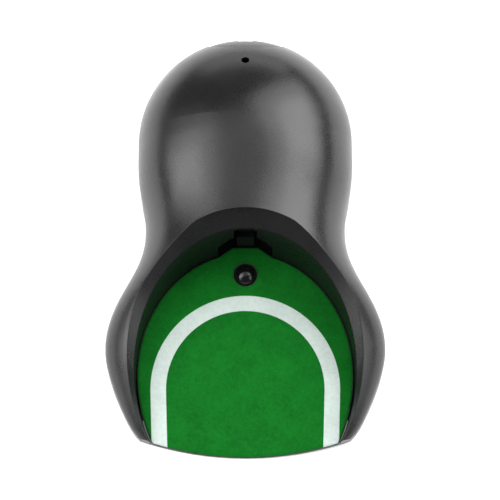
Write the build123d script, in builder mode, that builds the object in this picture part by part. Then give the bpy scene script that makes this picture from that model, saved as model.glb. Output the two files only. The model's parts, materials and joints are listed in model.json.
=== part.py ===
"""Automatic putting cup: a keyhole-shaped hood over a felt ramp, with a trigger button, a
swinging kicker, its gear train, a battery bay and a rear switch. Millimetres, +Z up, ball
enters travelling along +Y. The origin is under the middle of the footprint, on the table."""
import math
import os

from build123d import *

os.makedirs("parts", exist_ok=True)

# ---- overall size -------------------------------------------------------------------
LENGTH = 264.0
SHELL_BOTTOM = 1.2
FRONT_RADIUS = 200.0
WALL = 2.5

# hood sections: distance behind the front lip, half width, crest height; each has an
# upright wall for a share of its height, then a rounded crown of a given fullness
STATIONS = [
    (-6, 42.8, 8.0),
    (8, 61.7, 16.5),
    (24, 74.0, 28.5),
    (42, 81.8, 42.0),
    (60, 86.4, 54.0),
    (78, 84.6, 65.5),
    (96, 76.6, 75.0),
    (114, 66.8, 79.5),
    (132, 62.4, 80.2),
    (150, 63.3, 81.5),
    (168, 66.6, 84.4),
    (180, 67.5, 86.5),
    (190, 67.5, 87.7),
]
DOME_BACK = 196.2
DOME_WIDTH = 67.5
DOME_LENGTH = 67.8
DOME_HEIGHT = 88.0
UPRIGHT = 0.36
FULLNESS = 0.58

# mouth: plan centre, half width, reach to the rear, reach to the front
MOUTH_FLOOR = (50.0, 65.4, 76.8, 88.0)
MOUTH_RIM = (48.8, 68.2, 78.4, 76.4)
MOUTH_TOP = (56.0, 72.0, 81.1, 86.1)
RIM_START, RIM_SLOPE = 8.2, 0.522
TOP_START, TOP_SLOPE = 12.4, 0.526
MOUTH_FRONT = 8.0
POCKET_WALL = 2.2

# ramp and felt: heights of the felt at the lip and at the crease, then the platform slope
LIP = 4.0
CREASE = 40.6
CREASE_Z = 14.0
PLATFORM_SLOPE = 0.098
FELT = 1.2
DECK = 2.0
BASE_TOP = 3.2
BASE_STEP = 13.5
LINE_OUTER, LINE_INNER, LINE_CENTRE = 58.6, 49.0, 40.9

# kicker slot, groove above it and the tab of the ramp that enters it
SLOT_HALF = 17.0
SLOT_EDGE, SLOT_PEAK = 39.3, 52.0
GROOVE_HALF = 7.0
GROOVE_TOP = 66.0
TAB_REACH = 130.4

# flag hole
FLAG_AT = 233.2
FLAG_R = 2.5
FLAG_SOCKET_R = 4.5
FLAG_SOCKET_Z = 66.0

# trigger button
BUTTON_AT = 113.2
BUTTON_R = 6.9
BUTTON_BORE = 7.2

# mechanism: distance behind the front lip, height
PIVOT = (147.0, 62.0)
NOSE = (172.0, 40.0)
NOSE_R = 3.0
CAM_GAP = 0.4
CAM_BASE = 6.5
CAM_SWEEP = 90.0
KICK_SWING = 18.0
TEETH_SMALL, TEETH_LARGE, MODULE = 12, 30, 1.0
PIN_R = 1.5
RUNNING = 0.05
FRAME_LEFT, FRAME_RIGHT, FRAME_T = -13.0, 18.0, 2.0
FRAME_Z = 7.2
MOTOR_R, MOTOR_FLAT, MOTOR_LONG = 10.0, 15.0, 25.0
SPRING_LOW = (168.0, 16.0)
SPRING_HIGH = (144.0, 40.0)
SPRING_X = -7.5

# battery bay
CELL_R = 7.25
CELL_LONG = 50.5
CELL_PITCH = 15.2
BAY_HALF = 33.0
BAY_FRONT, BAY_REAR = 192.0, 248.5
BAY_TOP = 20.0
DOOR_HALF = 30.7

# rear facet with its cap and rocker switch
FACET_AT = (251.5, 60.0)
FACET_LEAN = 24.7
CAP_RECESS = 0.5
CAP_DROP = 9.0
ROCKER_TILT = 8.0
ROCKER_OUT = 0.4

# fasteners and feet: half spacing, distance behind the front lip
SHELL_SCREWS = [(77.0, 56.0), (50.5, 158.0), (44.5, 231.0)]
DECK_SCREWS = [(48.0, 62.0), (44.0, 100.0)]
FRAME_SCREWS = [(-17.5, 152.0), (-17.5, 184.0), (24.5, 152.0), (24.5, 184.0)]
FEET = [(62.0, 42.0), (52.0, 214.0)]
HEAD_R, HEAD_T, SHANK_R, SHANK = 2.7, 1.5, 1.4, 7.5
PAD_TOP = 4.4


def fy(d):
    """Model Y for a distance behind the front lip."""
    return d - LENGTH / 2


def export(part, label):
    part.label = label
    export_step(part, f"parts/{label}.step")


# ---- shared shapes ------------------------------------------------------------------
def crown(w, h):
    """Half section drawn from the foot of the wall up to the crest."""
    foot = UPRIGHT * h
    rise = FULLNESS * (h - foot)
    Line((w, 0), (w, foot))
    Bezier((w, foot), (w, foot + rise), (FULLNESS * w, h), (0, h))


def hull(inset, first=0):
    """Solid hood shape from the table up, shrunk inwards by an inset."""
    rows = STATIONS[first:] + [(DOME_BACK, DOME_WIDTH, DOME_HEIGHT)]
    with BuildPart() as body:
        for d, half, crest in rows:
            w = half - inset
            h = crest - inset
            foot = UPRIGHT * h
            rise = FULLNESS * (h - foot)
            with BuildSketch(Plane.XZ.offset(-fy(d))):
                with BuildLine():
                    crown(w, h)
                    Bezier((0, h), (-FULLNESS * w, h), (-w, foot + rise), (-w, foot))
                    Polyline((-w, foot), (-w, 0), (w, 0))
                make_face()
        loft()
    a = DOME_WIDTH - inset
    c = DOME_HEIGHT - inset
    with BuildPart() as dome:
        with BuildSketch(Plane.XZ):
            with BuildLine():
                crown(a, c)
                Polyline((0, c), (0, 0), (a, 0))
            make_face()
        revolve(axis=Axis.Z, revolution_arc=180)
    squeeze = (DOME_LENGTH - inset) / a
    back = Pos(0, fy(DOME_BACK), 0) * scale(dome.part, by=(1, squeeze, 1))
    return body.part + back


def mouth_outline(centre, half, rear, front, stretch):
    """Closed arch, open end at the front, drawn in a plane tilted by the stretch."""
    k = 1 / stretch
    turn = math.degrees(math.asin((centre - MOUTH_FRONT) / front))
    EllipticalCenterArc((0, 0), half, rear * k, 0, arc_size=180)
    left = EllipticalCenterArc((0, 0), half, front * k, 180, arc_size=turn)
    right = EllipticalCenterArc((0, 0), half, front * k, -turn, arc_size=turn)
    Line(left @ 1, right @ 0)


def tilted(centre, height, slope):
    lean = math.atan(slope)
    return Plane(
        origin=(0, fy(centre), height),
        x_dir=(1, 0, 0),
        z_dir=(0, -math.sin(lean), math.cos(lean)),
    )


def mouth(grow):
    """Solid that fills the mouth from below the table to above the hood."""
    floor_c, floor_w, floor_r, floor_f = MOUTH_FLOOR
    rim_c, rim_w, rim_r, rim_f = MOUTH_RIM
    top_c, top_w, top_r, top_f = MOUTH_TOP
    rim_plane = tilted(rim_c, RIM_START + RIM_SLOPE * (rim_c - 11.7), RIM_SLOPE)
    top_plane = tilted(top_c, TOP_START + TOP_SLOPE * (top_c - 11.7), TOP_SLOPE)
    rim_k = math.cos(math.atan(RIM_SLOPE))
    top_k = math.cos(math.atan(TOP_SLOPE))
    with BuildPart() as pocket:
        with BuildSketch(tilted(floor_c, -20, 0)):
            with BuildLine():
                mouth_outline(floor_c, floor_w + grow, floor_r + grow, floor_f + grow, 1)
            make_face()
        with BuildSketch(rim_plane):
            with BuildLine():
                mouth_outline(rim_c, rim_w + grow, rim_r + grow, rim_f + grow, rim_k)
            make_face()
        loft(ruled=True)
    with BuildPart() as band:
        with BuildSketch(rim_plane):
            with BuildLine():
                mouth_outline(rim_c, rim_w + grow, rim_r + grow, rim_f + grow, rim_k)
            make_face()
        with BuildSketch(top_plane):
            with BuildLine():
                mouth_outline(top_c, top_w + grow, top_r + grow, top_f + grow, top_k)
            make_face()
        loft(ruled=True)
    with BuildPart() as above:
        with BuildSketch(top_plane):
            with BuildLine():
                mouth_outline(top_c, top_w + grow, top_r + grow, top_f + grow, top_k)
            make_face()
        extrude(amount=90)
    return pocket.part + band.part + above.part


def felt_top(d):
    """Height of the felt at a distance behind the front lip."""
    if d < CREASE:
        return LIP + (CREASE_Z - LIP) * d / CREASE
    return CREASE_Z + PLATFORM_SLOPE * (d - CREASE)


def slab(low, high, half=150, front=-20, rear=300):
    with BuildPart() as block:
        with BuildSketch(Plane.XY.offset(low)):
            with Locations((0, fy((front + rear) / 2))):
                Rectangle(2 * half, rear - front)
        extrude(amount=high - low)
    return block.part


def front_disc(radius, low=-5, high=120):
    """Upright disc whose edge is the curved front lip."""
    with BuildPart() as disc:
        with BuildSketch(Plane.XY.offset(low)):
            with Locations((0, fy(FRONT_RADIUS))):
                Circle(radius)
        extrude(amount=high - low)
    return disc.part


def ramp_plan(gap, reach, high=60.0):
    """Upright prism of the pocket floor, with the tab that enters the kicker slot."""
    centre, half, rear, front = MOUTH_FLOOR
    with BuildPart() as prism:
        with BuildSketch(tilted(centre, -2, 0)):
            with BuildLine():
                mouth_outline(centre, half + 1.8 - gap, rear + 0.2 - gap, front - gap - 6.8, 1)
            make_face()
        with BuildSketch(Plane.XY.offset(-2)):
            with BuildLine():
                Polyline(
                    (SLOT_HALF - 0.4, fy(110)),
                    (SLOT_HALF - 0.4, fy(reach - 6)),
                    (8, fy(reach)),
                    (-8, fy(reach)),
                    (0.4 - SLOT_HALF, fy(reach - 6)),
                    (0.4 - SLOT_HALF, fy(110)),
                    close=True,
                )
            make_face()
        with BuildSketch(Plane.XY.offset(-2)):
            with Locations((0, fy(4))):
                Rectangle(115.2, 9)
        extrude(amount=high)
    return prism.part


def side_profile(points, left, right):
    """Solid between two X positions from a closed outline of (distance, height)."""
    with BuildPart() as solid:
        with BuildSketch(Plane.YZ.offset(left)):
            with BuildLine():
                Polyline(*[(fy(d), z) for d, z in points], close=True)
            make_face()
        extrude(amount=right - left)
    return solid.part


def rod(spot, radius, left, right):
    """Round bar along X centred on (distance, height)."""
    with BuildPart() as bar:
        with BuildSketch(Plane.YZ.offset(left)):
            with Locations((fy(spot[0]), spot[1])):
                Circle(radius)
        extrude(amount=right - left)
    return bar.part


def post(x, d, radius, low, high):
    with BuildPart() as column:
        with BuildSketch(Plane.XY.offset(low)):
            with Locations((x, fy(d))):
                Circle(radius)
        extrude(amount=high - low)
    return column.part


def box(x0, x1, d0, d1, z0, z1):
    with BuildPart() as block:
        with BuildSketch(Plane.XY.offset(z0)):
            with Locations(((x0 + x1) / 2, fy((d0 + d1) / 2))):
                Rectangle(x1 - x0, d1 - d0)
        extrude(amount=z1 - z0)
    return block.part


def coil(radius, wire, pitch, height):
    """Open helical spring standing on the origin."""
    with BuildPart() as spring:
        with BuildLine() as path:
            Helix(pitch=pitch, height=height, radius=radius)
        with BuildSketch(Plane(path.line @ 0, z_dir=path.line % 0)):
            Circle(wire)
        sweep()
    return spring.part


def gear(spot, teeth, left, right, turn):
    """Toothed wheel with one tooth centred at an angle from +Y towards +Z."""
    pitch_r = MODULE * teeth / 2
    tip_r = pitch_r + 0.75 * MODULE
    root_r = pitch_r - 1.15 * MODULE
    half = 360 / teeth / 4
    outline = []
    for n in range(teeth):
        middle = turn + n * 360 / teeth
        for radius, swing in ((root_r, -1.35), (tip_r, -0.32), (tip_r, 0.32), (root_r, 1.35)):
            angle = math.radians(middle + swing * half)
            outline.append((spot[0] + radius * math.cos(angle), spot[1] + radius * math.sin(angle)))
    return side_profile(outline, left, right)


def turned(spot, centre, degrees):
    """(distance, height) after a turn about a centre, +Y towards +Z."""
    angle = math.radians(degrees)
    y = spot[0] - centre[0]
    z = spot[1] - centre[1]
    return (
        centre[0] + y * math.cos(angle) - z * math.sin(angle),
        centre[1] + y * math.sin(angle) + z * math.cos(angle),
    )


def combine(solids, cuts=()):
    """One solid from a list of solids, less a list of cuts."""
    with BuildPart() as whole:
        for solid in solids:
            add(solid)
        for cut in cuts:
            add(cut, mode=Mode.SUBTRACT)
    return whole.part


def reflected(spots):
    return [(side * x, d) for x, d in spots for side in (-1, 1)]


def screw(x, d, seat, up):
    """Screw seated at a height, with its shank going up (1) or down (-1)."""
    ends = sorted((seat, seat + up * SHANK))
    head = sorted((seat, seat - up * HEAD_T))
    body = post(x, d, SHANK_R, *ends) + post(x, d, HEAD_R, *head)
    face = seat - up * HEAD_T
    cut = sorted((face, face + up * 0.8))
    body -= box(x - 1.6, x + 1.6, d - 0.3, d + 0.3, *cut)
    body -= box(x - 0.3, x + 0.3, d - 1.6, d + 1.6, *cut)
    return body


def sum_posts(spots, radius, low, high):
    with BuildPart() as columns:
        with BuildSketch(Plane.XY.offset(low)):
            with Locations([(x, fy(d)) for x, d in spots]):
                Circle(radius)
        extrude(amount=high - low)
    return columns.part


facet = Plane(
    origin=(0, fy(FACET_AT[0]), FACET_AT[1]),
    x_dir=(1, 0, 0),
    z_dir=(0, math.cos(math.radians(FACET_LEAN)), math.sin(math.radians(FACET_LEAN))),
)


def on_facet(width, tall, low, high, drop=CAP_DROP, radius=0.0):
    """Prism or cylinder standing on the rear facet, measured outwards from it."""
    with BuildPart() as block:
        with BuildSketch(facet.offset(low)):
            with Locations((0, drop)):
                if radius:
                    Circle(radius)
                else:
                    Rectangle(width, tall)
        extrude(amount=high - low)
    return block.part


# ---- hood ---------------------------------------------------------------------------
outer = hull(0)
inner_edge = hull(WALL / 2, 2)
front_arc = front_disc(FRONT_RADIUS)
facet_cut = on_facet(120, 120, 0, 30)
hollow = combine([outer & slab(SHELL_BOTTOM, 120) & front_arc], [hull(WALL, 2)])
pocket_walls = outer & mouth(POCKET_WALL) & slab(BASE_TOP + 0.3, 120, front=23)
bosses = inner_edge & sum_posts(reflected(SHELL_SCREWS), 3.6, PAD_TOP, 80)
flag_socket = post(0, FLAG_AT, FLAG_SOCKET_R, FLAG_SOCKET_Z, 90) & inner_edge
with BuildPart() as kicker_slot:
    with BuildSketch(Plane.XZ.offset(-fy(112))):
        with BuildLine():
            Polyline(
                (-SLOT_HALF, 17), (SLOT_HALF, 17), (SLOT_HALF, SLOT_EDGE),
                (GROOVE_HALF, SLOT_PEAK), (-GROOVE_HALF, SLOT_PEAK), (-SLOT_HALF, SLOT_EDGE),
                close=True,
            )
        make_face()
    extrude(amount=-24)
top_shell = combine(
    [hollow, pocket_walls, bosses, flag_socket],
    [
        mouth(0),
        box(-58, 58, -12, MOUTH_FRONT + 0.5, -2, 60),
        kicker_slot.part,
        box(-GROOVE_HALF, GROOVE_HALF, 120, 138, SLOT_EDGE, GROOVE_TOP),
        sum_posts(reflected(SHELL_SCREWS), SHANK_R, 0, 12),
        facet_cut,
        post(0, FLAG_AT, FLAG_R, 60, 100),
        box(-BAY_HALF, BAY_HALF, 240, 290, 0, BASE_TOP + 0.1),
    ],
)
export(top_shell, "top_shell")

# ---- rear cap and switch ------------------------------------------------------------
cap_lens = hull(CAP_RECESS) & facet_cut
rear_cap = combine(
    [cap_lens, on_facet(0, 0, -4, 0.5, radius=12.0)],
    [on_facet(9.2, 13.2, -8, 12)],
)
export(rear_cap, "rear_cap")

switch_body = combine(
    [
        combine([on_facet(9.0, 13.0, -12, ROCKER_OUT + 1.8)], [on_facet(7.4, 11.6, ROCKER_OUT - 3.8, 12)]),
        on_facet(1.2, 2.4, -15, -12, drop=CAP_DROP - 3.4),
        on_facet(1.2, 2.4, -15, -12, drop=CAP_DROP + 3.4),
    ]
)
export(switch_body, "switch_body")

with BuildPart() as rocker:
    with BuildSketch(Plane.YZ.offset(-3.4)):
        with BuildLine():
            Polyline(
                (-5.2, 2.2), (0, 1.3), (5.2, 2.2), (5.2, 0.4), (3.4, -3.0), (-3.4, -3.0),
                (-5.2, 0.4), close=True,
            )
        make_face()
    extrude(amount=6.8)
rocker_pivot = facet.from_local_coords((0, CAP_DROP, ROCKER_OUT))
rocker_lean = FACET_LEAN - 90 + ROCKER_TILT
power_rocker = Pos(rocker_pivot) * Rot(rocker_lean, 0, 0) * rocker.part
export(power_rocker, "power_rocker")

# ---- base and battery door ----------------------------------------------------------
screw_spots = reflected(SHELL_SCREWS + DECK_SCREWS)
tongue = mouth(-0.4) & slab(SHELL_BOTTOM, BASE_TOP, rear=34) & front_disc(FRONT_RADIUS - 14)
plate = combine([hull(WALL + 0.3, 2) & slab(SHELL_BOTTOM, BASE_TOP), tongue])
stands = [
    sum_posts(screw_spots, 4.5, BASE_TOP - 0.5, PAD_TOP),
    sum_posts(FRAME_SCREWS, 3.5, BASE_TOP - 0.5, FRAME_Z),
    sum_posts([(x, d) for x in (-55, -29) for d in (167, 186)], 2.5, BASE_TOP - 0.5, 9.2),
    box(-11, -8, 104, 122, BASE_TOP - 0.5, PAD_TOP),
    box(8, 11, 104, 122, BASE_TOP - 0.5, PAD_TOP),
    box(-BAY_HALF - 1.5, BAY_HALF + 1.5, BAY_FRONT - 1.5, BAY_REAR + 1.5, 2.6, BAY_TOP),
]
base_plate = combine(
    [plate] + stands,
    [
        box(-BAY_HALF, BAY_HALF, BAY_FRONT, BAY_REAR, 0, BAY_TOP - 1.5),
        box(-BAY_HALF, BAY_HALF, BAY_FRONT, 290, 2.05, BASE_TOP + 0.1),
        box(-31, 31, BAY_FRONT, 290, 0, 2.1),
        sum_posts(screw_spots, 3.0, 0, 3.0),
        sum_posts(screw_spots, SHANK_R, 0, 6),
        sum_posts(reflected(FEET), 5.0, 0, 1.7),
        sum_posts(FRAME_SCREWS, SHANK_R, 1.7, 12),
    ],
)
export(base_plate, "base_plate")

door_panel = box(-DOOR_HALF, DOOR_HALF, BAY_FRONT + 0.3, 290, SHELL_BOTTOM, 2.9) & outer
door_rails = box(-BAY_HALF + 0.3, BAY_HALF - 0.3, BAY_FRONT + 0.3, 246, 2.2, 2.9)
grips = [
    box(-12, 12, 248 + 2.8 * n, 249.4 + 2.8 * n, SHELL_BOTTOM - 0.1, SHELL_BOTTOM + 0.5)
    for n in range(5)
]
battery_door = combine([door_panel, door_rails], grips)
export(battery_door, "battery_door")

rubber_feet = sum_posts(reflected(FEET), 5.0, 0, 1.7)
export(rubber_feet, "rubber_feet")

# ---- ramp, felt and white line ------------------------------------------------------
button_hole = post(0, BUTTON_AT, BUTTON_BORE, 0, 40)
deck_roof = [
    (-2, felt_top(-2) - FELT),
    (CREASE, CREASE_Z - FELT),
    (140, felt_top(140) - FELT),
]
deck_under = [
    (140, felt_top(140) - FELT - DECK),
    (CREASE, CREASE_Z - FELT - DECK),
    (BASE_STEP + 8, BASE_TOP + 0.2),
    (BASE_STEP + 8, SHELL_BOTTOM),
    (-2, SHELL_BOTTOM),
]
deck_skin = side_profile(deck_roof + deck_under, -70, 70)
deck_skin = deck_skin & ramp_plan(0.35, TAB_REACH) & front_arc
under_ramp = front_disc(FRONT_RADIUS - BASE_STEP) & slab(0, BASE_TOP + 0.2)
legs = sum_posts(reflected(DECK_SCREWS), 3.6, PAD_TOP, 40)
legs = legs & side_profile(deck_roof + [(140, 0), (-2, 0)], -70, 70)
ramp_deck = combine(
    [combine([deck_skin], [under_ramp]), legs],
    [sum_posts(reflected(DECK_SCREWS), SHANK_R, 0, 11), button_hole],
)
export(ramp_deck, "ramp_deck")

felt_roof = [(140, felt_top(140)), (CREASE, CREASE_Z), (-2, felt_top(-2))]
felt_block = side_profile(deck_roof + felt_roof, -70, 70) & ramp_plan(0.7, TAB_REACH - 0.3)
felt_block = felt_block & front_disc(FRONT_RADIUS - 0.4)
felt_sheet = combine([felt_block], [post(0, BUTTON_AT, BUTTON_R + 0.8, 0, 40)])
with BuildPart() as line_prism:
    with BuildSketch():
        for radius, mode in ((LINE_OUTER, Mode.ADD), (LINE_INNER, Mode.SUBTRACT)):
            foot = radius - 1.2
            with Locations((0, fy(LINE_CENTRE))):
                Circle(radius, mode=mode)
            with BuildLine():
                Polyline(
                    (radius, fy(LINE_CENTRE)), (-radius, fy(LINE_CENTRE)),
                    (-foot, fy(-4)), (foot, fy(-4)), close=True,
                )
            make_face(mode=mode)
    extrude(amount=60)
felt_mat = felt_sheet - line_prism.part
aiming_line = felt_sheet & line_prism.part
export(felt_mat, "felt_mat")
export(aiming_line, "aiming_line")

# ---- trigger button -----------------------------------------------------------------
button_plane = Plane(origin=(0, fy(BUTTON_AT), 0), x_dir=(1, 0, 0), z_dir=(0, -1, 0))
with BuildPart() as trigger_button:
    with BuildSketch(button_plane):
        with BuildLine():
            ThreePointArc((0, 25.7), (4.4, 24.5), (BUTTON_R, 21.2))
            Polyline(
                (BUTTON_R, 21.2), (BUTTON_R, 16.6), (8.6, 16.6), (8.6, 15.0), (2, 15.0),
                (2, 12.4), (0, 12.4), (0, 25.7),
            )
        make_face()
    revolve(axis=Axis((0, fy(BUTTON_AT), 0), (0, 0, 1)))
export(trigger_button.part, "trigger_button")

button_spring = Pos(0, fy(BUTTON_AT), 6.4) * coil(5.5, 0.3, 2.0, 8.2)
export(button_spring, "button_spring")
trigger_board = box(-12, 12, 102.2, 124.2, PAD_TOP, PAD_TOP + 1.6)
export(trigger_board, "trigger_board")
trigger_switch = combine([
    box(-3.1, 3.1, BUTTON_AT - 3.1, BUTTON_AT + 3.1, 6.0, 8.6),
    post(0, BUTTON_AT, 1.75, 8.5, 9.7),
])
export(trigger_switch, "trigger_switch")

# ---- kicker -------------------------------------------------------------------------
arm = [(142.5, 62), (151.5, 62), (147.5, 41), (141, 24.2), (136, 24.2), (134.6, 40)]
striker = [(131, 24.2), (138, 24.2), (138, 40.2), (131, 40.2)]
lever = [(148.6, 58.0), (145.4, 63.9), (170.1, 42.2), (173.7, 37.6)]
kicker = combine(
    [
        side_profile(arm, -4, 4),
        side_profile(striker, -5.3, 5.3),
        side_profile(lever, -4, 4),
        rod(PIVOT, 5, -7.5, 7.5),
        rod(NOSE, NOSE_R, -4, 4),
        rod(SPRING_HIGH, 1.0, -9.2, -3),
    ],
    [rod(PIVOT, PIN_R + RUNNING, -20, 20)],
)
export(kicker, "kicker")
kicker_pin = rod(PIVOT, PIN_R, FRAME_LEFT, FRAME_RIGHT + FRAME_T)
export(kicker_pin, "kicker_pin")

spring_run = SPRING_LOW[0] - SPRING_HIGH[0]
spring_rise = SPRING_HIGH[1] - SPRING_LOW[1]
spring_long = math.hypot(spring_run, spring_rise)
eye = Rot(0, 90, 0) * Torus(1.45, 0.3)
kicker_spring = combine([
    Pos(0, 0, 4.0) * coil(2.2, 0.3, (spring_long - 8.0) / 12, spring_long - 8.0),
    eye,
    Pos(0, 0, spring_long) * eye,
    Pos(0, 0, 2.8) * Cylinder(0.3, 2.8),
    Pos(1.1, 0, 4.0) * Rot(0, 90, 0) * Cylinder(0.3, 2.4),
    Pos(0, 0, spring_long - 2.8) * Cylinder(0.3, 2.8),
    Pos(1.1, 0, spring_long - 4.0) * Rot(0, 90, 0) * Cylinder(0.3, 2.4),
])
spring_turn = math.degrees(math.atan2(spring_run, spring_rise))
kicker_spring = Pos(SPRING_X, fy(SPRING_LOW[0]), SPRING_LOW[1]) * Rot(spring_turn, 0, 0) * kicker_spring
export(kicker_spring, "kicker_spring")

# ---- gear train ---------------------------------------------------------------------
away = math.hypot(NOSE[0] - PIVOT[0], NOSE[1] - PIVOT[1])
lift = NOSE_R + CAM_GAP + CAM_BASE
CAM_AXIS = (
    NOSE[0] - lift * (NOSE[1] - PIVOT[1]) / away,
    NOSE[1] + lift * (NOSE[0] - PIVOT[0]) / away,
)
GEAR_REACH = MODULE * (TEETH_SMALL + TEETH_LARGE) / 2
GEAR_AXIS = (CAM_AXIS[0] + GEAR_REACH, CAM_AXIS[1])
MOTOR_AXIS = (GEAR_AXIS[0] + 0.8 * GEAR_REACH, GEAR_AXIS[1] - 0.6 * GEAR_REACH)
motor_angle = math.degrees(math.atan2(-0.6, 0.8))


def nose_seen_by_cam(turn):
    """Nose centre in the cam's own frame when the cam has turned."""
    nose = turned(NOSE, PIVOT, -turn * KICK_SWING / CAM_SWEEP)
    y, z = turned(nose, CAM_AXIS, turn)
    return y - CAM_AXIS[0], z - CAM_AXIS[1]


def cam_face(turn):
    """Point of the lobe that faces the nose at a turn, less the running gap."""
    y0, z0 = nose_seen_by_cam(turn - 0.5)
    y1, z1 = nose_seen_by_cam(turn + 0.5)
    step = math.hypot(y1 - y0, z1 - z0)
    y, z = (y0 + y1) / 2, (z0 + z1) / 2
    ny, nz = -(z1 - z0) / step, (y1 - y0) / step
    if ny * y + nz * z > 0:
        ny, nz = -ny, -nz
    return y + (NOSE_R + CAM_GAP) * ny, z + (NOSE_R + CAM_GAP) * nz


lobe = [cam_face(n * CAM_SWEEP / 24) for n in range(25)]
lobe_end = math.degrees(math.atan2(lobe[-1][1], lobe[-1][0]))
lobe_start = math.degrees(math.atan2(lobe[0][1], lobe[0][0]))
base_r = CAM_BASE - 0.3
back_sweep = (lobe_start - lobe_end) % 360 - 20
for n in range(31):
    angle = math.radians(lobe_end + 10 + back_sweep * n / 30)
    lobe.append((base_r * math.cos(angle), base_r * math.sin(angle)))
cam_outline = [(CAM_AXIS[0] + y, CAM_AXIS[1] + z) for y, z in lobe]

hub_left = FRAME_LEFT + FRAME_T + 0.5
hub_right = FRAME_RIGHT - 0.5
cam_gear = combine(
    [
        side_profile(cam_outline, -3, 3),
        gear(CAM_AXIS, TEETH_LARGE, 6, 10, 0),
        rod(CAM_AXIS, 3.2, hub_left, hub_right),
    ],
    [rod(CAM_AXIS, PIN_R + RUNNING, -20, 20)],
)
export(cam_gear, "cam_gear")
cam_pin = rod(CAM_AXIS, PIN_R, FRAME_LEFT, FRAME_RIGHT + FRAME_T)
export(cam_pin, "cam_pin")

reduction_gear = combine(
    [
        gear(GEAR_AXIS, TEETH_SMALL, 5.5, 12, 180 + 180 / TEETH_SMALL),
        gear(GEAR_AXIS, TEETH_LARGE, 12, 15.5, motor_angle),
        rod(GEAR_AXIS, 2.6, hub_left, hub_right),
    ],
    [rod(GEAR_AXIS, PIN_R + RUNNING, -20, 20)],
)
export(reduction_gear, "reduction_gear")
gear_pin = rod(GEAR_AXIS, PIN_R, FRAME_LEFT, FRAME_RIGHT + FRAME_T)
export(gear_pin, "gear_pin")

pinion_turn = motor_angle + 180 + 180 / TEETH_SMALL
motor_pinion = combine(
    [gear(MOTOR_AXIS, TEETH_SMALL, 11.5, 16, pinion_turn)],
    [rod(MOTOR_AXIS, 1.0, 10, 20)],
)
export(motor_pinion, "motor_pinion")
motor_left = FRAME_RIGHT + FRAME_T
motor_shaft = rod(MOTOR_AXIS, 1.0, 11, motor_left + 6)
export(motor_shaft, "motor_shaft")

motor_screw_at = [(MOTOR_AXIS[0] + side, MOTOR_AXIS[1]) for side in (-5, 5)]
frame_outline = [
    (142, FRAME_Z), (190, FRAME_Z), (190, 22.5), (229, 22.5), (229, 46), (206, 64),
    (178, 66), (153, 71), (142, 71),
]
gear_frame = combine(
    [
        side_profile(frame_outline, FRAME_LEFT, FRAME_LEFT + FRAME_T),
        side_profile(frame_outline, FRAME_RIGHT, motor_left),
        box(-22, 29, 147, 189, FRAME_Z, FRAME_Z + 2),
        rod(SPRING_LOW, 1.0, FRAME_LEFT + 1, SPRING_X + 1.5),
    ],
    [rod(spot, PIN_R, -20, 30) for spot in (PIVOT, CAM_AXIS, GEAR_AXIS)]
    + [rod(spot, 0.9, 10, 30) for spot in motor_screw_at]
    + [rod(MOTOR_AXIS, 3.2, FRAME_RIGHT - 1, 30), sum_posts(FRAME_SCREWS, SHANK_R, 0, 20)],
)
export(gear_frame, "gear_frame")

can = rod(MOTOR_AXIS, MOTOR_R, motor_left, motor_left + MOTOR_LONG)
flats = slab(MOTOR_AXIS[1] - MOTOR_FLAT / 2, MOTOR_AXIS[1] + MOTOR_FLAT / 2)
motor = combine(
    [
        can & flats,
        rod(MOTOR_AXIS, 3.0, motor_left - 1.5, motor_left + 1),
        rod(MOTOR_AXIS, 3.5, motor_left + MOTOR_LONG - 1, motor_left + MOTOR_LONG + 1.5),
    ],
    [rod(MOTOR_AXIS, 1.0 + RUNNING, 10, motor_left + 6.5)]
    + [rod(spot, 0.9, 10, motor_left + 3) for spot in motor_screw_at],
)
export(motor, "motor")
motor_screws = combine(
    [rod(spot, 0.9, FRAME_RIGHT - 0.5, motor_left + 3) for spot in motor_screw_at]
    + [rod(spot, 1.6, FRAME_RIGHT - 1.1, FRAME_RIGHT) for spot in motor_screw_at]
)
export(motor_screws, "motor_screws")

# ---- power and control --------------------------------------------------------------
cell_x = [(n - 1.5) * CELL_PITCH for n in range(4)]
cell_z = 3.4 + CELL_R


def along_y(x, z, radius, start, end):
    """Round bar along Y."""
    with BuildPart() as bar:
        with BuildSketch(Plane.XZ.offset(-fy(end))):
            with Locations((x, z)):
                Circle(radius)
        extrude(amount=end - start)
    return bar.part


cells = []
contacts = []
for n, x in enumerate(cell_x):
    forward = n % 2
    start = BAY_FRONT + (0.8 if forward else 5.2)
    can_at = start + (1.2 if forward else 0)
    nub_at = start if forward else start + CELL_LONG - 1.2
    spring_end = BAY_REAR - 0.9 if forward else BAY_FRONT + 4.7
    cells.append(along_y(x, cell_z, CELL_R, can_at, can_at + CELL_LONG - 1.2))
    cells.append(along_y(x, cell_z, 2.75, nub_at, nub_at + 1.2))
    contacts.append(box(x - 5, x + 5, BAY_FRONT, BAY_FRONT + 0.4, cell_z - 5, cell_z + 5))
    contacts.append(box(x - 5, x + 5, BAY_REAR - 0.4, BAY_REAR, cell_z - 5, cell_z + 5))
    contacts.append(Pos(x, fy(spring_end), cell_z) * Rot(90, 0, 0) * coil(3.2, 0.3, 1.2, 3.6))
batteries = combine(cells)
export(batteries, "batteries")
battery_contacts = combine(contacts)
export(battery_contacts, "battery_contacts")

control_board = box(-58, -26, 163.5, 189.5, 9.2, 10.8)
export(control_board, "control_board")
board_parts = combine(
    [
        box(-46, -36, 166, 174, 10.8, 12.6),
        box(-34, -28, 171, 178, 10.8, 13.4),
        box(-57, -51, 171, 182, 10.8, 17.0),
        post(-36, 183, 4.0, 10.8, 22.0),
    ]
    + [box(-48, -44, d, d + 2, 10.8, 12.0) for d in (177, 181, 185)]
)
export(board_parts, "board_parts")

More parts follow.
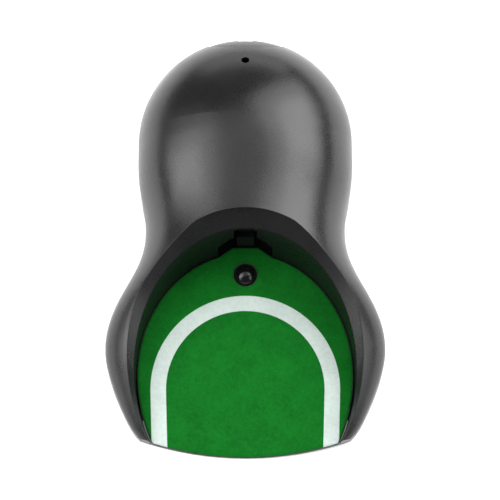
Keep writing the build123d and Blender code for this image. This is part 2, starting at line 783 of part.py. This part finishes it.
# ---- screws -------------------------------------------------------------------------
case_screws = combine(
    [screw(x, d, 3.0, 1) for x, d in screw_spots]
    + [screw(x, d, FRAME_Z + 2, -1) for x, d in FRAME_SCREWS]
)
export(case_screws, "case_screws")
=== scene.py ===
"""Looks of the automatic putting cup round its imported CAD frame. Metres, +Z up, ball rolls along +Y."""
import json
import math

import bmesh
import bpy
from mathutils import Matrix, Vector, noise
from mathutils.geometry import delaunay_2d_cdt
from mathutils.kdtree import KDTree

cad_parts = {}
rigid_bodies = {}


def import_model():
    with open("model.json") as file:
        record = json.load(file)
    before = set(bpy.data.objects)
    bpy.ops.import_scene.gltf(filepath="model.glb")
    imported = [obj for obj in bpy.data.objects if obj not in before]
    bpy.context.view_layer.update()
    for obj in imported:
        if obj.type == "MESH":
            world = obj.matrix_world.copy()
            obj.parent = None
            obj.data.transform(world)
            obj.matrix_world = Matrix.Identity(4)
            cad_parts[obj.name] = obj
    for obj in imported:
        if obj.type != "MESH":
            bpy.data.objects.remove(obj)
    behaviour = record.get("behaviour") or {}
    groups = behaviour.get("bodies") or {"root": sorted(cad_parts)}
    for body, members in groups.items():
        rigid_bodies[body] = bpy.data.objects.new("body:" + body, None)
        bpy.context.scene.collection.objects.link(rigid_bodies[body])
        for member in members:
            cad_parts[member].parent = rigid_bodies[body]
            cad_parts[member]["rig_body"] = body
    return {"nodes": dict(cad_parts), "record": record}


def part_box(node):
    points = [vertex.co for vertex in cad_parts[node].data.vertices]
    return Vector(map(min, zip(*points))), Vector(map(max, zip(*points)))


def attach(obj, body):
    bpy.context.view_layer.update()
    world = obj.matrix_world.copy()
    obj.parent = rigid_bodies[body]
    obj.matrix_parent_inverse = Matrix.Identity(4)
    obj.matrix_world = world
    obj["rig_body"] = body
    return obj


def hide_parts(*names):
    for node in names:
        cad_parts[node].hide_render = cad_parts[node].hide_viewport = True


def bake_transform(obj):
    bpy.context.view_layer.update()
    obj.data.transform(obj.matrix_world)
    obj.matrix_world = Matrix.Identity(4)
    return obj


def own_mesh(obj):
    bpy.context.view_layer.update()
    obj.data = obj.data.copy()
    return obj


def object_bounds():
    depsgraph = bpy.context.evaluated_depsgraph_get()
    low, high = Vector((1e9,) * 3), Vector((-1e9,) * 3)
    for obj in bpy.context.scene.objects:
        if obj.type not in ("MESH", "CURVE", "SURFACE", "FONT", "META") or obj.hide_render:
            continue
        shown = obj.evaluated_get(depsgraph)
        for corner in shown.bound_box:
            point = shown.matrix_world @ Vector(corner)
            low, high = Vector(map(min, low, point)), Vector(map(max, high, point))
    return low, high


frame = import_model()
nodes = frame["nodes"]
CAD_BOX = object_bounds()
MM = 0.001
LIP_Y = CAD_BOX[0][1]

# the hood's mouth, an ellipse in plan
POCKET_Y = LIP_Y + 48.8 * MM
MOUTH_HALF = (68.2 * MM, 78.4 * MM)


# ---- node material helpers ---------------------------------------------------------
class Shade:
    """A Principled material with its texture nodes in object space, in metres."""

    def __init__(self, name, colour, rough, metal=0.0, **extra):
        self.mat = bpy.data.materials.new(name)
        self.mat.use_nodes = True
        self.tree = self.mat.node_tree
        self.bsdf = self.tree.nodes["Principled BSDF"]
        self.coord = self.tree.nodes.new("ShaderNodeTexCoord").outputs["Object"]
        self.set("Base Color", (*colour, 1.0))
        self.set("Roughness", rough)
        self.set("Metallic", metal)
        self.heights = []
        for key, value in extra.items():
            self.set(key.replace("_", " "), value)

    def set(self, socket, value):
        self.bsdf.inputs[socket].default_value = value

    def link(self, a, b):
        self.tree.links.new(a, b)

    def node(self, kind, **values):
        made = self.tree.nodes.new(kind)
        for key, value in values.items():
            if key in made.inputs:
                made.inputs[key].default_value = value
            else:
                setattr(made, key, value)
        return made

    def mapped(self, stretch=(1, 1, 1)):
        if stretch == (1, 1, 1):
            return self.coord
        m = self.node("ShaderNodeMapping", Scale=stretch)
        self.link(self.coord, m.inputs["Vector"])
        return m.outputs["Vector"]

    def noise(self, size_mm, detail=3.0, stretch=(1, 1, 1), rough=0.55):
        n = self.node("ShaderNodeTexNoise", Scale=1000.0 / size_mm, Detail=detail, Roughness=rough)
        self.link(self.mapped(stretch), n.inputs["Vector"])
        return n.outputs["Fac"]

    def cells(self, size_mm, feature="F1"):
        n = self.node("ShaderNodeTexVoronoi", Scale=1000.0 / size_mm, feature=feature)
        self.link(self.coord, n.inputs["Vector"])
        return n.outputs["Distance"]

    def remap(self, value, low, high, to_low=0.0, to_high=1.0):
        n = self.node("ShaderNodeMapRange")
        for key, v in zip(("From Min", "From Max", "To Min", "To Max"), (low, high, to_low, to_high)):
            n.inputs[key].default_value = v
        self.link(value, n.inputs["Value"])
        return n.outputs["Result"]

    def maths(self, operation, a, b):
        n = self.node("ShaderNodeMath", operation=operation)
        for socket, v in zip(n.inputs, (a, b)):
            if isinstance(v, (int, float)):
                socket.default_value = v
            else:
                self.link(v, socket)
        return n.outputs["Value"]

    def ramp(self, value, *stops):
        n = self.node("ShaderNodeValToRGB")
        ramp = n.color_ramp
        while len(ramp.elements) < len(stops):
            ramp.elements.new(0.5)
        for element, (place, colour) in zip(ramp.elements, stops):
            element.position = place
            element.color = (*colour, 1.0)
        self.link(value, n.inputs["Fac"])
        return n.outputs["Color"]

    def mix(self, factor, a, b, blend="MIX"):
        n = self.node("ShaderNodeMix", data_type="RGBA", blend_type=blend)
        for socket, v in zip((n.inputs[0], n.inputs[6], n.inputs[7]), (factor, a, b)):
            if isinstance(v, tuple):
                socket.default_value = (*v, 1.0)
            elif isinstance(v, (int, float)):
                socket.default_value = v
            else:
                self.link(v, socket)
        return n.outputs[2]

    def paint(self, colour):
        self.link(colour, self.bsdf.inputs["Base Color"])

    def roughness(self, value):
        self.link(value, self.bsdf.inputs["Roughness"])

    def bump(self, height, depth_mm, strength=1.0):
        n = self.node("ShaderNodeBump", Strength=strength, Distance=depth_mm * MM)
        self.link(height, n.inputs["Height"])
        if self.heights:
            self.link(self.heights[-1], n.inputs["Normal"])
        self.heights.append(n.outputs["Normal"])
        self.link(self.heights[-1], self.bsdf.inputs["Normal"])


def hood_plastic(name, colour, rough):
    """Black shell moulded in a fine leather grain, with softened edges and a slight sheen."""
    s = Shade(name, colour, rough, Specular_IOR_Level=0.5)
    edge = s.node("ShaderNodeBevel", samples=6, Radius=0.45 * MM)
    s.heights.append(edge.outputs["Normal"])
    slow = s.noise(30, 2)
    pebble = s.cells(0.95, "SMOOTH_F1")
    grain = s.noise(0.75, 3, rough=0.6)
    leather = s.maths("ADD", s.maths("MULTIPLY", pebble, 0.8), grain)
    s.paint(s.ramp(slow, (0.3, tuple(c * 0.85 for c in colour)), (0.7, tuple(c * 1.15 for c in colour))))
    s.roughness(s.remap(s.maths("ADD", slow, grain), 0.7, 1.3, rough - 0.05, rough + 0.05))
    s.bump(leather, 0.022)
    # the specular level is turned down on the pocket wall inside the rim, a painted shade that dims the
    # felt's green reflection in that recess
    centre = s.node("ShaderNodeMapping", vector_type="TEXTURE")
    centre.inputs["Location"].default_value = (0, POCKET_Y, 0)
    centre.inputs["Scale"].default_value = (*MOUTH_HALF, 1)
    s.link(s.coord, centre.inputs["Vector"])
    flat = s.node("ShaderNodeVectorMath", operation="MULTIPLY")
    flat.inputs[1].default_value = (1, 1, 0)
    s.link(centre.outputs["Vector"], flat.inputs[0])
    out = s.node("ShaderNodeVectorMath", operation="LENGTH")
    s.link(flat.outputs["Vector"], out.inputs[0])
    pocket_shade_spec, polished = 0.12, 0.5
    spec_with_pocket_shade = s.remap(out.outputs["Value"], 1.0, 1.006, pocket_shade_spec, polished)
    s.link(spec_with_pocket_shade, s.bsdf.inputs["Specular IOR Level"])
    return s.mat


def plastic(name, colour, rough, grain_mm=0.5, depth=0.02, vary=0.25, **extra):
    """Moulded plastic: fine spark-eroded grain, slow tone drift and handling smudges."""
    s = Shade(name, colour, rough, **extra)
    slow = s.noise(28, 2)
    grain = s.noise(grain_mm, 2)
    dark = tuple(c * (1 - vary) for c in colour)
    light = tuple(min(1, c * (1 + vary)) for c in colour)
    s.paint(s.ramp(slow, (0.3, dark), (0.7, light)))
    s.roughness(s.remap(s.maths("ADD", slow, grain), 0.7, 1.3, rough - 0.04, rough + 0.05))
    s.bump(grain, depth)
    return s.mat


def metal(name, colour, rough, stretch=(1, 1, 1), **extra):
    """Bare metal: drawn or rolled grain with slight tarnish."""
    s = Shade(name, colour, rough, 1.0, **extra)
    brushed = s.noise(0.8, 3, stretch)
    tarnish = s.noise(6, 4)
    s.paint(s.ramp(tarnish, (0.3, tuple(c * 0.78 for c in colour)), (0.65, colour)))
    s.roughness(s.remap(brushed, 0.3, 0.7, rough - 0.06, rough + 0.12))
    s.bump(brushed, 0.01)
    return s.mat


def felt(name, colour, tuft, fleck, fibre_light):
    """Needled felt: matted fibres, faint tufts and scattered lighter fibres."""
    s = Shade(name, colour, 0.97, Specular_IOR_Level=0.06, Sheen_Weight=0.04, Sheen_Roughness=0.5)
    broad = s.noise(14, 2)
    matted = s.noise(2.4, 4, rough=0.7)
    fibre = s.noise(0.7, 3, (1, 0.35, 1))
    cross = s.noise(0.7, 3, (0.35, 1, 1))
    pile = s.maths("MAXIMUM", fibre, cross)
    tone = s.maths("ADD", s.maths("MULTIPLY", matted, 0.6), s.maths("MULTIPLY", broad, 0.4))
    dark = tuple(c * (1 - tuft) for c in colour)
    light = tuple(c * (1 + tuft) for c in colour)
    base = s.ramp(tone, (0.36, dark), (0.64, light))
    tips = s.remap(pile, 0.62, 0.78, 0.0, fleck)
    s.paint(s.mix(tips, base, fibre_light))
    s.bump(matted, 0.12, 0.6)
    s.bump(pile, 0.2, 0.7)
    return s.mat


FINISH = {
    "hood_black": hood_plastic("hood_black", (0.0056, 0.0056, 0.0062), 0.29),
    "cap_grey": plastic(
        "cap_grey", (0.072, 0.072, 0.074), 0.28, 0.9, 0.006, 0.05, Specular_IOR_Level=0.06
    ),
    "switch_black": plastic("switch_black", (0.012, 0.012, 0.013), 0.35, 0.6, 0.01),
    "rocker_black": plastic("rocker_black", (0.016, 0.016, 0.017), 0.25, 0.6, 0.006),
    "base_black": plastic("base_black", (0.016, 0.016, 0.017), 0.5, 0.7, 0.03),
    "door_black": plastic("door_black", (0.017, 0.017, 0.018), 0.48, 0.7, 0.03),
    "rubber_black": plastic("rubber_black", (0.012, 0.012, 0.012), 0.8, 0.4, 0.05),
    "deck_black": plastic("deck_black", (0.014, 0.014, 0.015), 0.4, 0.6, 0.02),
    "felt_green": felt("felt_green", (0.0033, 0.104, 0.0093), 0.20, 0.5, (0.012, 0.22, 0.03)),
    "felt_white": felt("felt_white", (0.445, 0.52, 0.485), 0.09, 0.40, (0.62, 0.66, 0.66)),
    "button_black": plastic(
        "button_black", (0.004, 0.004, 0.005), 0.16, 0.6, 0.003, Specular_IOR_Level=0.38
    ),
    "spring_steel": metal("spring_steel", (0.55, 0.56, 0.58), 0.25),
    "board_green": plastic("board_green", (0.012, 0.075, 0.025), 0.35, 0.8, 0.01),
    "part_black": plastic("part_black", (0.02, 0.02, 0.021), 0.45, 0.4, 0.02),
    "kicker_grey": plastic(
        "kicker_grey", (0.009, 0.009, 0.010), 0.4, 0.5, 0.02, Specular_IOR_Level=0.12
    ),
    "steel": metal("steel", (0.56, 0.57, 0.58), 0.28),
    "gear_white": plastic("gear_white", (0.78, 0.77, 0.72), 0.4, 0.6, 0.008, 0.05),
    "brass": metal("brass", (0.75, 0.55, 0.24), 0.25),
    "frame_white": plastic("frame_white", (0.72, 0.72, 0.70), 0.45, 0.6, 0.01, 0.05),
    "motor_steel": metal("motor_steel", (0.62, 0.63, 0.64), 0.3, (1, 8, 8)),
    "cell_grey": plastic("cell_grey", (0.20, 0.21, 0.23), 0.3, 0.6, 0.004, 0.15),
}

SLOT = {row["node"]: row["material_slot"] for row in frame["record"]["subparts"]}
for name, obj in nodes.items():
    for i in range(len(obj.data.materials)):
        obj.data.materials[i] = FINISH[SLOT[name]]

# softened edges: bevel width in millimetres for each node that is shown as it is
EDGE = {
    "rear_cap": 0.3, "switch_body": 0.25, "power_rocker": 0.3,
    "base_plate": 0.3, "battery_door": 0.3, "rubber_feet": 0.25, "ramp_deck": 0.25,
    "kicker": 0.35, "gear_frame": 0.2, "motor": 0.4, "cam_gear": 0.12,
    "reduction_gear": 0.12, "motor_pinion": 0.1, "board_parts": 0.15, "trigger_switch": 0.15,
    "batteries": 0.4, "control_board": 0.08, "trigger_board": 0.08, "case_screws": 0.15,
}
for name, radius in EDGE.items():
    weld = nodes[name].modifiers.new("weld", "WELD")
    weld.merge_threshold = 1e-6
    bevel = nodes[name].modifiers.new("edge", "BEVEL")
    bevel.width = radius * MM
    bevel.segments = 2
    bevel.limit_method = "ANGLE"
    bevel.angle_limit = math.radians(35)
    bevel.use_clamp_overlap = True
    bevel.harden_normals = True


def new_piece(name, points, faces, node, smooth_angle=40, rides=True):
    """Mesh piece that stands for a CAD node, and rides on its body unless it bends between two."""
    mesh = bpy.data.meshes.new(name)
    mesh.from_pydata([tuple(p) for p in points], [], faces)
    mesh.validate()
    piece = bpy.data.objects.new(name, mesh)
    bpy.context.scene.collection.objects.link(piece)
    mesh.materials.append(FINISH[SLOT[node]])
    mesh.shade_smooth()
    mesh.set_sharp_from_angle(angle=math.radians(smooth_angle))
    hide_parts(node)
    if rides:
        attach(piece, nodes[node]["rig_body"])
    return piece


# ---- felt --------------------------------------------------------------------------
CREASE_Y, CREASE_Z, CREASE_SOFT = LIP_Y + 40.6 * MM, 14.0 * MM, 1.6 * MM
RAMP_SLOPE, REAR_SLOPE = 10.0 / 40.6, 0.098
LINE_CENTRE_Y = LIP_Y + 40.9 * MM
LINE_R = (49.0 * MM, 58.6 * MM)
LEG_LEAN = 1.2 / 44.9
FELT_T = 1.2 * MM
FELT_STEP = 1.1 * MM
EDGE_ROUND = 0.55 * MM
ON_LINE = 0.06 * MM
ROW_RATIO = 0.866


def felt_height(y):
    """Top of the felt, with the crease eased over a few millimetres."""
    run = y - CREASE_Y
    soft = CREASE_SOFT
    bend = (RAMP_SLOPE - REAR_SLOPE) * (math.sqrt(run * run + soft * soft) - run) / 2
    return CREASE_Z + REAR_SLOPE * run - bend


def line_gap(x, y):
    """Distance to the nearer edge of the white line's band in plan."""
    if y > LINE_CENTRE_Y:
        r = math.hypot(x, y - LINE_CENTRE_Y)
        return min(abs(r - LINE_R[0]), abs(r - LINE_R[1]))
    lean = (LINE_CENTRE_Y - y) * LEG_LEAN
    return min(abs(abs(x) - LINE_R[0] + lean), abs(abs(x) - LINE_R[1] + lean))


def open_edges(faces):
    """Directed edges that only one of the faces has."""
    found = {}
    for face in faces:
        for a, b in zip(face, face[1:] + face[:1]):
            if (b, a) in found:
                del found[(b, a)]
            else:
                found[(a, b)] = True
    return list(found)


def top_loops(node):
    """Closed outlines of a CAD node's upward faces, in plan."""
    mesh = nodes[node].data
    key = [tuple(round(c, 7) for c in v.co) for v in mesh.vertices]
    upward = [f for f in mesh.polygons if f.normal.z >= 0.7]
    follow = dict(open_edges([[key[v] for v in f.vertices] for f in upward]))
    loops = []
    while follow:
        start, here = follow.popitem()
        loop = [start]
        while here != start:
            loop.append(here)
            here = follow.pop(here)
        loops.append([(p[0], p[1]) for p in loop])
    return loops


def plan_tree(spots):
    """Search tree of points in plan."""
    tree = KDTree(len(spots))
    for i, (x, y) in enumerate(spots):
        tree.insert((x, y, 0), i)
    tree.balance()
    return tree


def felt_piece(node, step):
    """Closed felt sheet: dense pile surface, rounded cut edges, square joints to its neighbour."""
    loops = top_loops(node)
    ring = []
    edges = []
    for loop in loops:
        first = len(ring)
        for (x0, y0), (x1, y1) in zip(loop, loop[1:] + loop[:1]):
            parts = max(1, math.ceil(math.hypot(x1 - x0, y1 - y0) / step))
            for k in range(parts):
                t = k / parts
                ring.append((x0 + (x1 - x0) * t, y0 + (y1 - y0) * t))
        edges += [(i, i + 1) for i in range(first, len(ring) - 1)] + [(len(ring) - 1, first)]
    cut = plan_tree([p for p in ring if line_gap(*p) > ON_LINE])
    border = plan_tree(ring)
    plan = [Vector(p) for p in ring]
    for a, b in edges:
        side = plan[b] - plan[a]
        if side.length < 1e-7 or line_gap(*ring[a]) < ON_LINE:
            continue
        inward = Vector((-side.y, side.x)).normalized()
        for inset in (0.12, 0.3, 0.55):
            spot = plan[a] + side / 2 + inward * inset * MM
            if border.find((spot.x, spot.y, 0))[2] > 0.7 * inset * MM:
                plan.append(spot)
    low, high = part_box(node)
    rows = int((high.y - low.y) / (step * ROW_RATIO)) + 1
    for j in range(rows):
        y = low.y + (j + 0.5) * step * ROW_RATIO
        for i in range(int((high.x - low.x) / step) + 1):
            x = low.x + (i + 0.5 * (j % 2)) * step
            if border.find((x, y, 0))[2] > 0.75 * step:
                plan.append(Vector((x, y)))
    flat, _, faces, *_ = delaunay_2d_cdt(plan, edges, [], 1, 1e-7)
    heights = []
    for v in flat:
        gap = cut.find((v.x, v.y, 0))[2]
        drop = EDGE_ROUND - math.sqrt(max(0, EDGE_ROUND**2 - max(0, EDGE_ROUND - gap) ** 2))
        spot = Vector((v.x, v.y, 0)) / MM
        nap = 0.11 * noise.noise(spot / 3.1) + 0.07 * noise.noise(spot / 1.15)
        heights.append(felt_height(v.y) - drop + nap * MM * min(1, gap / MM + 0.3))
    sheet = []
    for face in faces:
        c = sum((flat[i] for i in face), Vector((0, 0))) / len(face)
        if inside(c, loops):
            sheet.append(tuple(face))
    n = len(flat)
    points = [(v.x, v.y, z) for v, z in zip(flat, heights)]
    points += [(v.x, v.y, felt_height(v.y) - FELT_T) for v in flat]
    solid = sheet + [tuple(i + n for i in reversed(f)) for f in sheet]
    solid += [(a, a + n, b + n, b) for a, b in open_edges(sheet)]
    return points, solid


def inside(p, loops):
    """Whether a point in plan is within the outlines and out of their holes."""
    odd = False
    for loop in loops:
        for (x0, y0), (x1, y1) in zip(loop, loop[1:] + loop[:1]):
            if (y0 > p.y) != (y1 > p.y) and p.x < x0 + (p.y - y0) * (x1 - x0) / (y1 - y0):
                odd = not odd
    return odd


for name, node in (("felt_pile", "felt_mat"), ("felt_print", "aiming_line")):
    new_piece(name, *felt_piece(node, FELT_STEP), node, 60)


# ---- trigger button ----------------------------------------------------------------
def turned_piece(name, node, profile, steps=96):
    """Solid of revolution about the node's own upright axis, from (radius, height) in mm."""
    low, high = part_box(node)
    cx, cy = (low.x + high.x) / 2, (low.y + high.y) / 2
    points = []
    for r, z in profile:
        for k in range(steps):
            a = 2 * math.pi * k / steps
            points.append((cx + r * MM * math.cos(a), cy + r * MM * math.sin(a), z * MM))
    faces = []
    for j in range(len(profile) - 1):
        for k in range(steps):
            n = (k + 1) % steps
            faces.append((j * steps + k, j * steps + n, (j + 1) * steps + n, (j + 1) * steps + k))
    faces.append(tuple(reversed(range(steps))))
    faces.append(tuple((len(profile) - 1) * steps + k for k in range(steps)))
    return new_piece(name, points, faces, node, 45)


# domed cap down to its skirt, with a flange below the deck and a stem over the switch
DOME_R, DOME_SAG, DOME_TOP, DOME_STEPS = 6.9, 4.5, 25.7, 24
ball = (DOME_R**2 + DOME_SAG**2) / (2 * DOME_SAG)
profile = [(0.05, 12.4), (2.0, 12.4), (2.0, 15.0), (8.5, 15.0), (8.6, 15.15), (8.6, 16.5),
           (8.5, 16.6), (6.9, 16.6), (6.9, 20.9)]
for k in range(DOME_STEPS):
    t = math.asin(DOME_R / ball) * (1 - k / DOME_STEPS)
    profile.append((ball * math.sin(t), DOME_TOP - ball + ball * math.cos(t)))
profile.append((0.05, DOME_TOP))
turned_piece("button_dome", "trigger_button", profile)


# ---- springs -----------------------------------------------------------------------
def spring_piece(name, node, rides):
    """Mesh piece in the shape of a spring's node, which can then follow the joint it feels."""
    work = bmesh.new()
    work.from_mesh(nodes[node].data)
    bmesh.ops.remove_doubles(work, verts=work.verts, dist=0.001 * MM)
    work.verts.index_update()
    points = [v.co.copy() for v in work.verts]
    faces = [tuple(v.index for v in f.verts) for f in work.faces]
    work.free()
    return new_piece(name, points, faces, node, 45, rides)


# the button's flange pushes its spring down towards the board, a little past the joint's travel
press_coil = spring_piece("press_coil", "button_spring", True)
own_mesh(press_coil)

# the return spring runs up and forward from the base to its hook on the kicker
return_coil = spring_piece("return_coil", "kicker_spring", False)
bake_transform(return_coil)

# ---- floor, light, camera ----------------------------------------------------------
mesh = bpy.data.meshes.new("floor")
REACH = 3
corners = [(-REACH, -REACH, 0), (REACH, -REACH, 0), (REACH, REACH, 0), (-REACH, REACH, 0)]
mesh.from_pydata(corners, [], [(0, 1, 2, 3)])
floor = bpy.data.objects.new("floor", mesh)
bpy.context.scene.collection.objects.link(floor)
floor_look = Shade("floor_pale", (0.95, 0.95, 0.95), 0.9, Specular_IOR_Level=0.2)
paper = floor_look.maths("MULTIPLY", floor_look.noise(5, 2), 0.04)
floor_look.paint(floor_look.mix(paper, (0.93, 0.93, 0.93), (0.85, 0.85, 0.85)))
floor_look.set("Emission Color", (1, 1, 1, 1))
floor_look.set("Emission Strength", 0.16)
mesh.materials.append(floor_look.mat)

world = bpy.data.worlds.new("studio")
bpy.context.scene.world = world
world.use_nodes = True
backdrop = world.node_tree.nodes["Background"]
backdrop.inputs["Color"].default_value = (1, 1, 1, 1)
backdrop.inputs["Strength"].default_value = 0.17


AIM = Vector((0, 0, 0.05))


def softbox(name, place, size, power):
    """Rectangular area light facing the object."""
    data = bpy.data.lights.new(name, "AREA")
    data.shape = "RECTANGLE"
    data.size, data.size_y = size
    data.energy = power
    obj = bpy.data.objects.new(name, data)
    bpy.context.scene.collection.objects.link(obj)
    obj.location = place
    obj.rotation_euler = (AIM - place).to_track_quat("-Z", "Y").to_euler()


def studio_box(name, azimuth, elevation, distance, size, radiance):
    """Softbox at a bearing from the rear (+ is to the right) of a given brightness."""
    a, e = math.radians(azimuth), math.radians(elevation)
    way = Vector((math.sin(a) * math.cos(e), math.cos(a) * math.cos(e), math.sin(e)))
    power = radiance * math.pi * size[0] * size[1]
    softbox(name, way * distance + AIM, size, power)


studio_box("softbox_left", -98, 41, 1.15, (1.05, 1.25), 2.9)
studio_box("softbox_left_core", -100, 38, 1.10, (0.62, 0.66), 3.0)
studio_box("softbox_right", 60, 43, 1.15, (1.30, 1.25), 3.1)
studio_box("softbox_right_core", 64, 40, 1.10, (0.72, 0.68), 3.4)
studio_box("front_fill_right", 116, 24, 1.2, (0.75, 0.7), 2.6)
studio_box("front_fill_left", -122, 24, 1.2, (0.7, 0.7), 2.0)
studio_box("rear_fill", 0, 11, 1.6, (1.5, 0.5), 1.7)
studio_box("ceiling", 0, 88, 2.2, (1.7, 1.7), 1.0)

cam_data = bpy.data.cameras.new("camera")
cam = bpy.data.objects.new("camera", cam_data)
bpy.context.scene.collection.objects.link(cam)
CAM_AT = Vector((0.0029, -0.42283, 1.24117))
CAM_TO = Vector((0.0029, 0.00042, 0.012))
CAM_LENS = 147.87
cam.location = CAM_AT
cam.rotation_euler = (CAM_TO - CAM_AT).to_track_quat("-Z", "Y").to_euler()
cam_data.lens = CAM_LENS
cam_data.sensor_width = 36
cam_data.clip_start = 0.05
cam_data.clip_end = 30
bpy.context.scene.camera = cam
bpy.context.scene.view_settings.view_transform = "Standard"
